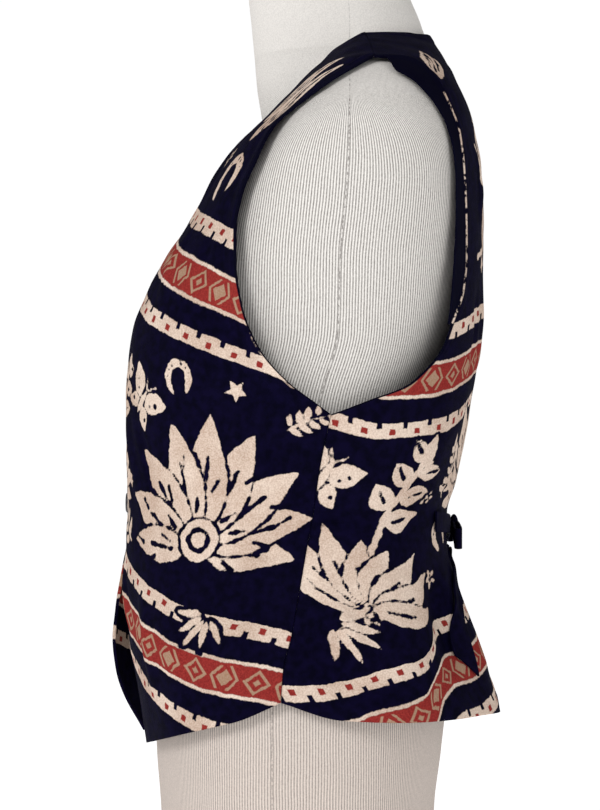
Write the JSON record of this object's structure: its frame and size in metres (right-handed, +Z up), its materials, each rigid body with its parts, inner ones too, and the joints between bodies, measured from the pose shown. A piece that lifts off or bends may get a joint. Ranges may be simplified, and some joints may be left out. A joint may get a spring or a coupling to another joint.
{
  "type": "western vest on a dress form",
  "caption": "Sleeveless printed-cotton western vest with a V neck, pointed fronts and a back tie, standing open at the hem on a smooth limbless dress form.",
  "frame": {"origin": "centre of the dress form's flat base", "axes": "+Z up, -Y towards the garment's front, +X towards the wearer's left"},
  "size_m": [0.3538, 0.2903, 0.722],
  "materials": {
    "printed_cotton": "matte cotton drill, dark navy with a cream, red and taupe print",
    "lining": "smooth dark navy lining",
    "button": "dark semi-gloss",
    "form_jersey": "ribbed cream-white jersey, matte"
  },
  "bodies": {
    "root": {"armhole_facing_left": "lining", "armhole_facing_right": "lining", "back": "printed_cotton", "button_1": "button", "button_2": "button", "button_3": "button", "button_4": "button", "dress_form": "form_jersey", "front_left": "printed_cotton", "front_right": "printed_cotton", "tie_knot": "printed_cotton", "tie_loop_left": "printed_cotton", "tie_loop_right": "printed_cotton", "tie_strap_left": "printed_cotton", "tie_strap_right": "printed_cotton", "tie_tail_left": "printed_cotton", "tie_tail_right": "printed_cotton"}
  },
  "joints": []
}
